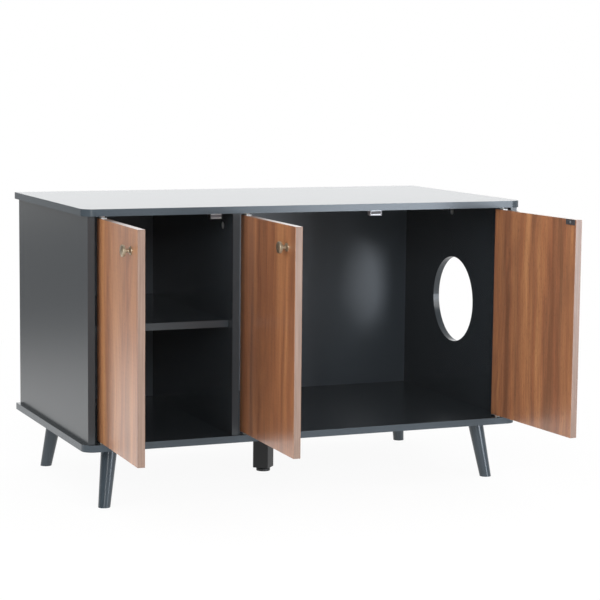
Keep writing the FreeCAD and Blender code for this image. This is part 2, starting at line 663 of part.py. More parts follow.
# ---------------------------------------------------------------------------------------------
# Centre post, drawn up from its underside, and the levelling foot
# ---------------------------------------------------------------------------------------------

POST_HEIGHT = "(leg_height - post_lift)"
STEM_BORE_DEPTH = "(%s + stem_length - post_lift + foot_travel + stem_room)" % FOOT_SOCKET
post_outline = ("-post_width / 2", "post_width / 2", "-post_width / 2", "post_width / 2")
post = slab("centre_post", "XY_Plane", "0", post_outline, POST_HEIGHT)
round_edges(post, "post_edge_radius", is_upright)
drill(post, "insert_bore", "XY_Plane", "0", [("0", "0", "insert_diameter / 2 + fit_gap")],
      "post_insert_length + fit_gap")
drill(post, "stem_bore", "XY_Plane", "0", [("0", "0", "stem_diameter / 2 + stem_bore_gap")],
      STEM_BORE_DEPTH)
drill(post, "bolt_bore", "XY_Plane", POST_HEIGHT, [("0", "0", "leg_bolt_diameter / 2 + fit_gap")],
      "leg_bolt_in_leg + fit_gap")
node(post, "centre_post", ("0", "0", "post_lift"), "post_turn")

group("centre_post_bolt", [
    rod("post_bolt", "leg_bolt_diameter / 2", "leg_bolt_in_leg + insert_length", ORIGIN)
], ("0", "0", "leg_height - leg_bolt_in_leg"))
group("centre_post_insert", [
    tube("post_insert", "insert_diameter / 2", "stem_diameter / 2 + pin_gap", "post_insert_length", ORIGIN)
], ("0", "0", "post_lift"))

foot = slab("foot_base", "XY_Plane", "0", ("0", "0", "foot_diameter / 2"), "foot_thickness")
foot_top = VALUES["foot_thickness"]
round_edges(foot, "foot_edge_radius",
            lambda e: e.BoundBox.ZLength < 1e-3 and abs(e.BoundBox.ZMin - foot_top) < 1e-3)
drill(foot, "stem_socket", "XY_Plane", "foot_thickness", [("0", "0", "stem_diameter / 2 + pin_gap")],
      "stem_in_foot + pin_gap")
node(foot, "foot_base", ORIGIN)
group("foot_stem", [rod("stem", "stem_diameter / 2", "stem_length", ORIGIN)],
      ("0", "0", FOOT_SOCKET))

# ---------------------------------------------------------------------------------------------
# Bushings and magnetic catches
# ---------------------------------------------------------------------------------------------

bushings = []
for x in PIVOTS.values():
    for level, axis in ((BAY_TOP, "+z"), (BAY_FLOOR, "-z")):
        bushings.append(tube("bushing", "bushing_diameter / 2", "pin_diameter / 2 + pin_gap",
                             "bushing_length", (x, PIVOT_Y, level), axis))
group("pivot_bushings", bushings)

CASE_FLOOR = "(%s - catch_height)" % BAY_TOP
POCKET_FLOOR = "(%s + (catch_height - pole_spacing - pole_thickness) / 2)" % CASE_FLOOR
UPPER_POLE = "(%s + pole_spacing)" % POCKET_FLOOR
CATCH_MIDDLE = "(%s + catch_depth / 2)" % CATCH_FACE
EAR_UNDERSIDE = "(%s - ear_thickness)" % BAY_TOP
catch_screws = []
for name, x in CATCHES.items():
    catch = "catch_" + name
    body = box(catch + "_body", ("catch_width", "catch_depth", "catch_height"),
               (x, CATCH_MIDDLE, CASE_FLOOR))
    ears = box(catch + "_ears", ("ear_span", "ear_depth", "ear_thickness"),
               (x, CATCH_MIDDLE, EAR_UNDERSIDE))
    holes = [box(catch + "_pocket", ("pole_width", "pole_depth", "pole_spacing + pole_thickness"),
                 (x, "(%s + pole_depth / 2)" % CATCH_FACE, POCKET_FLOOR))]
    for number, sign in enumerate("-+", 1):
        ear_x = "(%s %s %s)" % (x, sign, EAR_OFFSET)
        spot = (ear_x, CATCH_MIDDLE, EAR_UNDERSIDE)
        holes.append(countersink("%s_ear_hole_%d" % (catch, number), spot, "+z", "ear_thickness"))
        catch_screws.append(screw("%s_screw_%d" % (catch, number), spot, "+z", "ear_thickness"))
    group(catch + "_case", [cut(catch + "_hollow", fuse(catch + "_solid", [body, ears]), holes)])
    group(catch + "_magnet", [
        box(catch + "_block", ("pole_width", "pole_depth - magnet_recess", "pole_spacing - pole_thickness"),
            (x, "(%s + (pole_depth + magnet_recess) / 2)" % CATCH_FACE,
             "(%s + pole_thickness)" % POCKET_FLOOR))
    ])
    group(catch + "_poles", [
        box("%s_pole_%d" % (catch, number), ("pole_width", "pole_depth + pole_proud", "pole_thickness"),
            (x, "(%s + (pole_depth - pole_proud) / 2)" % CATCH_FACE, level))
        for number, level in enumerate((POCKET_FLOOR, UPPER_POLE), 1)
    ])
group("catch_screws", catch_screws)

# ---------------------------------------------------------------------------------------------
# Doors. Each is drawn closed in a frame on its pin's axis at the level of the bay floor, with the
# outer face towards -Y, and then turned open. hand is 1 where the door reaches towards +X from its
# pin and -1 where it is the mirror image.
# ---------------------------------------------------------------------------------------------

DOOR_TOP = "(%s - door_end_gap)" % BAY_HEIGHT
DOOR_FACE = "(-door_thickness / 2)"
DOOR_ENDS = (("upper", 1, DOOR_TOP), ("lower", -1, "door_end_gap"))
PAIR_WIDTH = "((%s - 3 * door_side_gap) / 2)" % RIGHT_BAY_WIDTH
DOORS = (
    ("left", 1, "(left_bay_width - 2 * door_side_gap)", "-left_door_angle"),
    ("middle", 1, PAIR_WIDTH, "-middle_door_angle"),
    ("right", -1, PAIR_WIDTH, "right_door_angle"),
)


def beyond(end, level, length):
    """The lower z of a piece that starts at the level and runs the length towards the end."""
    return level if end > 0 else "(%s - %s)" % (level, length)


def door_set(name, hand, door_width, angle):
    """A door with its hinge plates, washers, knob, strike plate and screws."""
    def x(text):
        return "(%d * (%s))" % (hand, text)

    spot = (PIVOTS[name], PIVOT_Y, BAY_FLOOR)
    door = "door_" + name
    inward = "+x" if hand > 0 else "-x"
    free_edge = "(%s - pivot_inset)" % door_width
    knob_x = x("%s - knob_inset" % free_edge)
    knob_z = "(%s - knob_fall)" % DOOR_TOP
    strike_x = x("%s - strike_inset - strike_length / 2" % free_edge)
    strike_z = "(%s - strike_fall - strike_height)" % DOOR_TOP
    strike_face = "(door_thickness / 2 + strike_thickness)"

    panel = slab(door, "XY_Plane", "door_end_gap",
                 (x("-pivot_inset"), x(free_edge), DOOR_FACE, "door_thickness / 2"),
                 "%s - door_end_gap" % DOOR_TOP)
    hinge_side = hand * -VALUES["pivot_inset"]
    round_edges(panel, "door_edge_radius",
                lambda e: is_upright(e) and abs(e.BoundBox.XMin - hinge_side) < 1e-3)
    mortises = [
        ("-plate_width / 2", "plate_width / 2", level, "%s %s plate_drop" % (level, "-+"[end < 0]))
        for _, end, level in DOOR_ENDS
    ]
    drill(panel, "mortises", "YZ_Plane", x("-pivot_inset"), mortises, "plate_thickness")
    drill(panel, "edge_pilots", "YZ_Plane", x("-pivot_inset"),
          [("0", "%s %s plate_screw_drop" % (level, "-+"[end < 0]), "screw_diameter / 2 + fit_gap")
           for _, end, level in DOOR_ENDS],
          "plate_thickness + screw_length + fit_gap")
    for end_name, _, level in DOOR_ENDS:
        drill(panel, end_name + "_pilot", "XY_Plane", level,
              [(x("plate_screw_offset"), "0", "screw_diameter / 2 + fit_gap")],
              "screw_length + fit_gap")
    drill(panel, "stud_bore", "XZ_Plane", "door_thickness / 2",
          [(knob_x, knob_z, "stud_diameter / 2 + fit_gap")], "stud_in_door + fit_gap")
    drill(panel, "strike_pilot", "XZ_Plane", "-door_thickness / 2",
          [(strike_x, "(%s + strike_height / 2)" % strike_z, "screw_diameter / 2 + fit_gap")],
          "screw_length + fit_gap")
    node(panel, door + "_panel", spot, angle)

    plates = []
    washers = []
    screws = []
    for end_name, end, level in DOOR_ENDS:
        piece = "%s_%s" % (door, end_name)
        outward, back = ("+z", "-z") if end > 0 else ("-z", "+z")
        plate_face = "(%s %s plate_thickness)" % (level, "+-"[end < 0])
        reach = box(piece + "_reach", ("plate_reach", "plate_width", "plate_thickness"),
                    (x("plate_reach / 2 - pivot_inset"), "0", beyond(end, level, "plate_thickness")))
        drop = box(piece + "_drop", ("plate_thickness", "plate_width", "plate_drop"),
                   (x("plate_thickness / 2 - pivot_inset"), "0", beyond(-end, level, "plate_drop")))
        pin = rod(piece + "_pin", "pin_diameter / 2", "door_end_gap + pin_engagement",
                  ("0", "0", level), outward)
        end_spot = (x("plate_screw_offset"), "0", plate_face)
        edge_spot = (x("-pivot_inset"), "0", "(%s %s plate_screw_drop)" % (level, "-+"[end < 0]))
        holes = [
            countersink(piece + "_end_hole", end_spot, back, "plate_thickness"),
            countersink(piece + "_edge_hole", edge_spot, inward, "plate_thickness"),
        ]
        plates.append(cut(piece + "_plate", fuse(piece + "_angle", [reach, drop, pin]), holes))
        screws.append(screw(piece + "_end_screw", end_spot, back, "plate_thickness"))
        screws.append(screw(piece + "_edge_screw", edge_spot, inward, "plate_thickness"))
        washers.append(tube(piece + "_washer", "washer_diameter / 2", "pin_diameter / 2 + pin_gap",
                            "door_end_gap - plate_thickness - washer_gap",
                            ("0", "0", plate_face), outward))
    group(door + "_pivot_plates", plates, spot, angle)
    group(door + "_pivot_washers", washers, spot, angle)
    group(door + "_pivot_screws", screws, spot, angle)

    rim_front = "(knob_projection - knob_crown_height)"
    rim_back = "(%s - knob_rim_height)" % rim_front
    head = [
        dome(door + "_knob_crown", "knob_crown_height", "knob_head_diameter / 2", ("0", "0", rim_front)),
        rod(door + "_knob_rim", "knob_head_diameter / 2", "knob_rim_height", ("0", "0", rim_back)),
        dome(door + "_knob_under", "knob_under_height", "knob_head_diameter / 2", ("0", "0", rim_back)),
    ]
    knob_solid = fuse(door + "_knob_solid", head + [
        rod(door + "_knob_base", "knob_base_diameter / 2", "knob_base_height", ORIGIN),
        cone(door + "_knob_flare", "knob_base_diameter / 2", "knob_neck_diameter / 2",
             "knob_flare_height", ("0", "0", "knob_base_height")),
        rod(door + "_knob_neck", "knob_neck_diameter / 2", rim_back, ORIGIN),
    ])
    knob_bore = rod(door + "_knob_bore", "stud_diameter / 2 + fit_gap", "stud_in_knob + fit_gap", ORIGIN)
    knob = place(cut(door + "_knob_turned", knob_solid, [knob_bore]), (knob_x, DOOR_FACE, knob_z),
                 AXES["-y"])
    group(door + "_knob", [knob], spot, angle)
    group(door + "_knob_stud", [
        rod(door + "_stud", "stud_diameter / 2", "stud_in_door + stud_in_knob",
            (knob_x, "(%s + stud_in_door)" % DOOR_FACE, knob_z), "-y")
    ], spot, angle)

    strike = box(door + "_strike_blank", ("strike_length", "strike_thickness", "strike_height"),
                 (strike_x, "(door_thickness / 2 + strike_thickness / 2)", strike_z))
    strike_spot = (strike_x, strike_face, "(%s + strike_height / 2)" % strike_z)
    strike_hole = countersink(door + "_strike_hole", strike_spot, "-y", "strike_thickness")
    group(door + "_strike_plate", [cut(door + "_strike", strike, [strike_hole])], spot, angle)
    group(door + "_strike_screw", [screw(door + "_fixing", strike_spot, "-y", "strike_thickness")],
          spot, angle)


for door_details in DOORS:
    door_set(*door_details)

# ---------------------------------------------------------------------------------------------
# Checks, then one file for each sub-part
# ---------------------------------------------------------------------------------------------

doc.recompute()
for item in doc.Objects:
    if "Invalid" in item.State or "Error" in item.State:
        raise RuntimeError("%s failed: %s" % (item.Name, item.State))
    if item.isDerivedFrom("PartDesign::Pocket"):
        if item.Shape.Volume >= item.BaseFeature.Shape.Volume - 1e-3:
            raise RuntimeError("%s cuts nothing" % item.Name)
for item in nodes:
    if item.Shape.isNull() or not item.Shape.isValid() or not item.Shape.Solids:
        raise RuntimeError("%s has no valid solid" % item.Label)

os.makedirs("parts", exist_ok=True)
for item in nodes:
    item.Shape.exportStep(os.path.join("parts", item.Label + ".step"))
    print("%-28s %2d solids %12.1f mm3" % (item.Label, len(item.Shape.Solids), item.Shape.Volume))
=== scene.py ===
"""Looks of a low cabinet that hides a litter box: charcoal melamine carcass, walnut melamine doors,
antique brass knobs, zinc-plated and nylon fittings, painted legs. Metres, in the solids' frame."""

import json

import bpy
import numpy as np
from mathutils import Matrix, Vector


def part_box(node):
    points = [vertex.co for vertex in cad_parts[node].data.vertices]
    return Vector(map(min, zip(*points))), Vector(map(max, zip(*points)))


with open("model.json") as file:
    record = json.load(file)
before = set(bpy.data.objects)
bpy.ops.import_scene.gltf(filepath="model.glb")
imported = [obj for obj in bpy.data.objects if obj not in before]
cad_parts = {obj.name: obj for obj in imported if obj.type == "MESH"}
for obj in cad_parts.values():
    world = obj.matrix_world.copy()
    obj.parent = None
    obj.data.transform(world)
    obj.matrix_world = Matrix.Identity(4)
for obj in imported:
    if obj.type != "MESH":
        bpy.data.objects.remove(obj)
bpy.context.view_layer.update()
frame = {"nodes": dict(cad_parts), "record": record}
MM = 0.001

# ------------------------------------------------------------------------------------------------
# Colours and shader nodes
# ------------------------------------------------------------------------------------------------


def linear(hex_colour):
    """An sRGB hex colour as linear RGBA: c/12.92 below 0.04045, otherwise ((c+0.055)/1.055)^2.4."""
    srgb = np.array([int(hex_colour[i:i + 2], 16) for i in (1, 3, 5)]) / 255
    rgb = np.where(srgb <= 0.04045, srgb / 12.92, ((srgb + 0.055) / 1.055) ** 2.4)
    return (*rgb.tolist(), 1.0)


def add(tree, kind, inputs=(), **settings):
    """A shader node of that kind with its settings. An input given a socket is linked to it, and
    one given a value is set."""
    made = tree.nodes.new("ShaderNode" + kind)
    for name, value in settings.items():
        setattr(made, name, value)
    for key, value in dict(inputs).items():
        if isinstance(value, bpy.types.NodeSocket):
            tree.links.new(value, made.inputs[key])
        else:
            made.inputs[key].default_value = value
    return made


def new_material(name):
    """An empty node material, its tree, and the object coordinates that patterns follow."""
    material = bpy.data.materials.new(name)
    material.use_nodes = True
    tree = material.node_tree
    tree.nodes.clear()
    return material, tree, add(tree, "TexCoord").outputs["Object"]


def shade(colour, factor):
    """The colour times a factor, fully opaque."""
    return tuple(c * factor for c in colour[:3]) + (1.0,)


# ------------------------------------------------------------------------------------------------
# Boards
# ------------------------------------------------------------------------------------------------

BOARD = 15 * MM
ARRIS = 0.15 * MM        # the colour of an edge begins this far under a face
# the last colour is a plastic edge band, made paler and cooler as painted highlight on the edges
CHARCOAL, CHARCOAL_ROUGHNESS, PALE_BAND_AND_HIGHLIGHT = "#2C3135", 0.25, "#333C43"

# The printed walnut is made of noise cells: their width across the grain and height along it in
# mm, the noise's detail and roughness, and the layer of the noise that they are read from.
WALNUT_CELLS = {
    "drift": (110, 380, 1.5, 0.5, 1.0),
    "bands": (42, 1500, 1.0, 0.5, 2.0),
    "hill": (70, 520, 0.5, 0.4, 3.0),
    "figure": (12, 420, 2.5, 0.6, 4.0),
    "fibres": (2.6, 110, 3.0, 0.65, 5.0),
    "pores": (0.9, 9, 0.0, 0.5, 6.0),
    "side_grain": (3.5, 160, 2.0, 0.6, 7.0),
    "hue": (9, 420, 2.0, 0.6, 8.0),
}
WALNUT_SHADES = ((0.24, "#7F5D48"), (0.38, "#906951"), (0.50, "#9E7356"), (0.62, "#AB7F5D"),
                 (0.78, "#BB8F69"))
FIGURE_SHARE, FIBRE_SHARE, RING_SHARE = 0.40, 0.62, 0.075
DRIFT_REACH = 34 * MM    # how far the bands would lean over one whole step of the drift
RINGS_PER_HILL = 62.0    # in radians, about ten growth rings
LAYERS_PER_METRE = 7     # so that doors cut from other stretches of the sheet differ wholly


def on_edge(tree, place, low, high, thickness_axis):
    """1 on the edges of a board, whose middle is its box's, and 0 on its two faces."""
    offset = add(tree, "VectorMath", {0: place, 1: tuple((low + high) / 2)}, operation="SUBTRACT")
    depth = add(tree, "VectorMath", {0: offset.outputs[0], 1: thickness_axis},
                operation="DOT_PRODUCT")
    depth = add(tree, "Math", {0: depth.outputs["Value"]}, operation="ABSOLUTE")
    return add(tree, "Math", {0: depth.outputs[0], 1: BOARD / 2 - ARRIS},
               operation="LESS_THAN").outputs[0]


def melamine_board(name, hex_colour, roughness, lying_box=None):
    """Melamine-faced particle board, pressed against a satin plate: an even colour with a faint
    cloud 60 mm wide in it, a soft sheen that mirrors at a low angle, and a fine leathery grain.
    Where the box of a lying board is given, its edges carry a plastic band, drawn paler and cooler
    than the faces as a painted highlight where the light catches them."""
    material, tree, place = new_material(name)
    cloud = add(tree, "TexNoise", {"Vector": place, "Scale": 1 / (60 * MM), "Detail": 2.0})
    base = linear(hex_colour)
    tint = add(tree, "Mix", {"Factor": cloud.outputs["Fac"], "A": shade(base, 0.97),
                             "B": shade(base, 1.03)}, data_type="RGBA")
    # painted highlight: the edges of a lying board take the paler band colour, standing in for the
    # light that catches them
    if lying_box:
        edge = on_edge(tree, place, *lying_box, (0.0, 0.0, 1.0))
        tint = add(tree, "Mix", {"Factor": edge, "A": tint.outputs["Result"], "B": linear(PALE_BAND_AND_HIGHLIGHT)},
                   data_type="RGBA")
    # the pressed grain is 0.2 mm on the real board, drawn at 0.6 mm so that it shows
    grain = add(tree, "TexNoise", {"Vector": place, "Scale": 1 / (0.6 * MM), "Detail": 1.0})
    sheen = add(tree, "MapRange", {"Value": grain.outputs["Fac"], "From Min": 0.3, "From Max": 0.7,
                                   "To Min": roughness - 0.01, "To Max": roughness + 0.01})
    relief = add(tree, "Bump", {"Height": grain.outputs["Fac"], "Distance": 0.01 * MM,
                                "Strength": 0.15})
    surface = add(tree, "BsdfPrincipled", {
        "Base Color": tint.outputs["Result"], "Roughness": sheen.outputs["Result"], "IOR": 1.5,
        "Normal": relief.outputs[0]})
    add(tree, "OutputMaterial", {"Surface": surface.outputs[0]})
    return material


def walnut_board(name, low, high, thickness_axis, shift):
    """Melamine with a printed walnut figure, grain upright, satin. Soft bands of colour 20 to 70 mm
    wide drift as they rise, between them open long pointed arches, fibres 1.5 to 4 mm apart run
    through both, and short dark pores are scattered over all. The edges carry a greyer band."""
    material, tree, place = new_material(name)
    split = add(tree, "SeparateXYZ", {"Vector": place})

    def cells(across, kind):
        """Noise cells of that kind, upright, where across is the place across the grain."""
        width, height, detail, roughness, layer = WALNUT_CELLS[kind]
        wide = add(tree, "Math", {0: across, 1: 1 / (width * MM)}, operation="MULTIPLY")
        tall = add(tree, "Math", {0: split.outputs["Z"], 1: 1 / (height * MM)},
                   operation="MULTIPLY")
        where = add(tree, "CombineXYZ", {"X": wide.outputs[0], "Y": tall.outputs[0],
                                         "Z": layer + shift * LAYERS_PER_METRE})
        return add(tree, "TexNoise", {"Vector": where.outputs[0], "Scale": 1.0, "Detail": detail,
                                      "Roughness": roughness}).outputs["Fac"]

    def blend(first, second, share):
        """The first height plus the share of the second one's departure from a half."""
        away = add(tree, "Math", {0: second, 1: share, 2: -share / 2}, operation="MULTIPLY_ADD")
        return add(tree, "Math", {0: first, 1: away.outputs[0]}, operation="ADD").outputs[0]

    # the doors stand nearly square to the front, so Y runs across their grain
    across = add(tree, "Math", {0: split.outputs["Y"], 1: shift}, operation="ADD").outputs[0]
    moved = add(tree, "Math", {0: cells(across, "drift"), 1: DRIFT_REACH, 2: across},
                operation="MULTIPLY_ADD").outputs[0]
    bands = cells(moved, "bands")
    # arches: the rings of a slowly tapering log, cut lengthwise, as the sine of a smooth hill
    rings = add(tree, "Math", {0: cells(across, "hill"), 1: RINGS_PER_HILL}, operation="MULTIPLY")
    rings = add(tree, "Math", {0: rings.outputs[0]}, operation="SINE")
    rings = add(tree, "Math", {0: rings.outputs[0], 1: 0.5, 2: 0.5}, operation="MULTIPLY_ADD")
    figure = cells(moved, "figure")
    fibres = cells(moved, "fibres")
    pores = cells(moved, "pores")

    height = blend(bands, figure, FIGURE_SHARE)
    height = blend(height, fibres, FIBRE_SHARE)
    height = blend(height, rings.outputs[0], RING_SHARE)
    ramp = add(tree, "ValToRGB", {"Fac": height})
    while len(ramp.color_ramp.elements) < len(WALNUT_SHADES):
        ramp.color_ramp.elements.new(0.5)
    for element, (position, colour) in zip(ramp.color_ramp.elements, WALNUT_SHADES):
        element.position, element.color = position, linear(colour)
    # heartwood turns from a rosy to a yellower brown from one growth line to the next
    hue = add(tree, "Mix", {"Factor": cells(moved, "hue"), "A": linear("#FFDCCE"),
                            "B": linear("#FCFAEC")}, data_type="RGBA")
    wood = add(tree, "Mix", {"Factor": 1.0, "A": ramp.outputs["Color"], "B": hue.outputs["Result"]},
               data_type="RGBA", blend_type="MULTIPLY")
    pore_depth = add(tree, "MapRange", {"Value": pores, "From Min": 0.64, "From Max": 0.80,
                                        "To Min": 0.0, "To Max": 0.45})
    face = add(tree, "Mix", {"Factor": pore_depth.outputs["Result"], "A": wood.outputs["Result"],
                             "B": linear("#4C3226")}, data_type="RGBA")

    edge_wood = add(tree, "Mix", {"Factor": cells(split.outputs["X"], "side_grain"),
                                  "A": linear("#60463A"), "B": linear("#8F7767")},
                    data_type="RGBA")
    tint = add(tree, "Mix", {"Factor": on_edge(tree, place, low, high, thickness_axis),
                             "A": face.outputs["Result"], "B": edge_wood.outputs["Result"]},
               data_type="RGBA")
    relief = add(tree, "Bump", {"Height": fibres, "Distance": 0.02 * MM, "Strength": 0.2})
    surface = add(tree, "BsdfPrincipled", {
        "Base Color": tint.outputs["Result"], "Roughness": 0.30, "IOR": 1.6, "Coat Weight": 0.45,
        "Coat Roughness": 0.22, "Normal": relief.outputs[0]})
    add(tree, "OutputMaterial", {"Surface": surface.outputs[0]})
    return material


# ------------------------------------------------------------------------------------------------
# Paint, metals and plastics
# ------------------------------------------------------------------------------------------------


def painted_wood(name, hex_colour, roughness):
    """Two coats of satin spray paint on turned or squared beech: an even film with a slight orange
    peel of 1.5 mm and the faint rise of the grain under it, upright, 3 mm wide and 90 mm long."""
    material, tree, place = new_material(name)
    peel = add(tree, "TexNoise", {"Vector": place, "Scale": 1 / (1.5 * MM), "Detail": 1.0})
    upright = (1 / (3 * MM), 1 / (3 * MM), 1 / (90 * MM))
    along = add(tree, "Mapping", {"Vector": place, "Scale": upright})
    grain = add(tree, "TexNoise", {"Vector": along.outputs[0], "Scale": 1.0, "Detail": 2.0})
    height = add(tree, "Math", {0: grain.outputs["Fac"], 1: 0.6, 2: peel.outputs["Fac"]},
                 operation="MULTIPLY_ADD")
    base = linear(hex_colour)
    tint = add(tree, "Mix", {"Factor": grain.outputs["Fac"], "A": shade(base, 0.86), "B": base},
               data_type="RGBA")
    relief = add(tree, "Bump", {"Height": height.outputs[0], "Distance": 0.03 * MM,
                                "Strength": 0.3})
    surface = add(tree, "BsdfPrincipled", {
        "Base Color": tint.outputs["Result"], "Roughness": roughness, "IOR": 1.5,
        "Normal": relief.outputs[0]})
    add(tree, "OutputMaterial", {"Surface": surface.outputs[0]})
    return material


def plated_metal(name, hex_colour, roughness, worn_hex, wear, metallic):
    """A metal surface with a fine directionless brush 0.4 mm across in its roughness. Patches 5 mm
    across turn to the worn colour by the share of wear, as handled antique brass and rubbed plating
    do. A metallic share under 1 is the dull haze of a chromate or oxide film."""
    material, tree, place = new_material(name)
    brush = add(tree, "TexNoise", {"Vector": place, "Scale": 1 / (0.4 * MM), "Detail": 2.0})
    patch = add(tree, "TexNoise", {"Vector": place, "Scale": 1 / (5 * MM), "Detail": 3.0})
    share = add(tree, "MapRange", {"Value": patch.outputs["Fac"], "From Min": 0.45,
                                   "From Max": 0.65, "To Min": 0.0, "To Max": wear})
    tint = add(tree, "Mix", {"Factor": share.outputs["Result"], "A": linear(hex_colour),
                             "B": linear(worn_hex)}, data_type="RGBA")
    rough = add(tree, "MapRange", {"Value": brush.outputs["Fac"], "From Min": 0.3, "From Max": 0.7,
                                   "To Min": roughness - 0.06, "To Max": roughness + 0.08})
    relief = add(tree, "Bump", {"Height": brush.outputs["Fac"], "Distance": 0.005 * MM,
                                "Strength": 0.2})
    surface = add(tree, "BsdfPrincipled", {
        "Base Color": tint.outputs["Result"], "Metallic": metallic,
        "Roughness": rough.outputs["Result"], "Normal": relief.outputs[0]})
    add(tree, "OutputMaterial", {"Surface": surface.outputs[0]})
    return material


def moulded_plastic(name, hex_colour, roughness, translucence=0.0):
    """Injection-moulded plastic with a spark-eroded skin of 0.5 mm. Nylon lets a little light in,
    1 mm deep. The ground face of a ferrite magnet is as dull and as finely pitted."""
    material, tree, place = new_material(name)
    skin = add(tree, "TexNoise", {"Vector": place, "Scale": 1 / (0.5 * MM), "Detail": 1.0})
    base = linear(hex_colour)
    tint = add(tree, "Mix", {"Factor": skin.outputs["Fac"], "A": shade(base, 0.9), "B": base},
               data_type="RGBA")
    relief = add(tree, "Bump", {"Height": skin.outputs["Fac"], "Distance": 0.01 * MM,
                                "Strength": 0.3})
    surface = add(tree, "BsdfPrincipled", {
        "Base Color": tint.outputs["Result"], "Roughness": roughness, "IOR": 1.5,
        "Subsurface Weight": translucence, "Subsurface Scale": 1.0 * MM,
        "Normal": relief.outputs[0]})
    add(tree, "OutputMaterial", {"Surface": surface.outputs[0]})
    return material


def bare_beech(name):
    """Unfinished beech dowel rod: pale tan with short darker flecks, 0.8 mm wide and 6 mm long."""
    material, tree, place = new_material(name)
    upright = (1 / (0.8 * MM), 1 / (0.8 * MM), 1 / (6 * MM))
    stretched = add(tree, "Mapping", {"Vector": place, "Scale": upright})
    fleck = add(tree, "TexNoise", {"Vector": stretched.outputs[0], "Scale": 1.0, "Detail": 2.0})
    tint = add(tree, "Mix", {"Factor": fleck.outputs["Fac"], "A": linear("#B98C5E"),
                             "B": linear("#DDBB8E")}, data_type="RGBA")
    surface = add(tree, "BsdfPrincipled", {"Base Color": tint.outputs["Result"], "Roughness": 0.7})
    add(tree, "OutputMaterial", {"Surface": surface.outputs[0]})
    return material


# ------------------------------------------------------------------------------------------------
# Each node gets its finish
# ------------------------------------------------------------------------------------------------

# Each door's opening at rest in degrees, and where in metres its print starts on the sheet
DOORS = {"left": (-91.7, 0.13), "middle": (-91.5, 0.71), "right": (93.2, 1.37)}
FINISHES = {
    "charcoal_board": melamine_board("melamine_charcoal", CHARCOAL, CHARCOAL_ROUGHNESS),
    "back_board": melamine_board("melamine_charcoal_back", "#2F353B", 0.34),
    "painted_leg": painted_wood("paint_slate_satin", "#353E45", 0.20),
    "painted_post": painted_wood("paint_charcoal_satin", "#111214", 0.50),
    "beech": bare_beech("beech_dowel"),
    "zinc_steel": plated_metal("steel_zinc_plated", "#BCBDBF", 0.40, "#AAA8A1", 0.3, 0.8),
    "dark_steel": plated_metal("steel_blackened", "#55565A", 0.42, "#6B6A6A", 0.4, 0.5),
    "antique_brass": plated_metal("brass_antique", "#A89B85", 0.36, "#CFC3AC", 0.4, 0.85),
    "pale_nylon": moulded_plastic("nylon_natural", "#C9C5BC", 0.45, 0.1),
    "black_plastic": moulded_plastic("abs_black", "#1C1D1F", 0.45),
    "grey_plastic": moulded_plastic("abs_light_grey", "#9B9BA0", 0.45),
    "ferrite": moulded_plastic("ferrite_ground", "#5C5A5D", 0.50),
}
for entry in frame["record"]["subparts"]:
    node, slot = entry["node"], entry["material_slot"]
    if slot == "walnut_board":
        slot = node.split("_")[1]
        opening, shift = DOORS[slot]
        turn = np.radians(opening)
        FINISHES[slot] = walnut_board("melamine_walnut_" + slot, *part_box(entry["node"]),
                                      (-np.sin(turn), np.cos(turn), 0.0), shift)
    elif node in ("top_panel", "bottom_panel"):
        slot = node
        FINISHES[slot] = melamine_board("melamine_charcoal_" + slot, CHARCOAL, CHARCOAL_ROUGHNESS,
                                        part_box(slot))
    materials = frame["nodes"][node].data.materials
    materials.clear()
    materials.append(FINISHES[slot])

# ------------------------------------------------------------------------------------------------
# Studio: white floor and surroundings, lamps at the left, in front and at the right
# ------------------------------------------------------------------------------------------------

WHITE = (1, 1, 1, 1)


def studio_floor():
    """A pale paper floor 14 m across, lit to white. Seen, it keeps 7 % of the cabinet's soft shadow
    up to 0.6 m from the middle, fading out at 2.2 m. Mirrored, it is white up to 0.7 m behind the
    middle and falls to 0.30 at 3 m, where the paper of a studio ends."""
    half = 7.0
    corners = [(-half, -half, 0.0), (half, -half, 0.0), (half, half, 0.0), (-half, half, 0.0)]
    mesh = bpy.data.meshes.new("studio_floor")
    mesh.from_pydata(corners, [], [(0, 1, 2, 3)])
    floor = bpy.data.objects.new("studio_floor", mesh)
    bpy.context.scene.collection.objects.link(floor)
    material, tree, place = new_material("floor_white_paper")
    light_path = add(tree, "LightPath")
    far = add(tree, "VectorMath", {0: place}, operation="LENGTH").outputs["Value"]
    paper = add(tree, "BsdfDiffuse", {"Color": linear("#F4F4F4")})
    white = add(tree, "Emission", {"Color": WHITE, "Strength": 1.0})
    seen = add(tree, "MapRange", {"Value": far, "From Min": 0.6, "From Max": 2.2,
                                  "To Min": 0.93, "To Max": 1.0}, interpolation_type="SMOOTHSTEP")
    split = add(tree, "SeparateXYZ", {"Vector": place})
    mirror = add(tree, "MapRange", {"Value": split.outputs["Y"], "From Min": 0.7, "From Max": 3.0,
                                    "To Min": 1.0, "To Max": 0.30}, interpolation_type="SMOOTHSTEP")
    to_mirror = add(tree, "Emission", {"Color": WHITE, "Strength": mirror.outputs["Result"]})
    share = add(tree, "Math", {0: light_path.outputs["Is Camera Ray"], 1: seen.outputs["Result"]},
                operation="MULTIPLY")
    for_camera = add(tree, "MixShader", {"Fac": share.outputs[0], 1: paper.outputs[0],
                                         2: white.outputs[0]})
    both = add(tree, "MixShader", {"Fac": light_path.outputs["Is Glossy Ray"],
                                   1: for_camera.outputs[0], 2: to_mirror.outputs[0]})
    add(tree, "OutputMaterial", {"Surface": both.outputs[0]})
    mesh.materials.append(material)


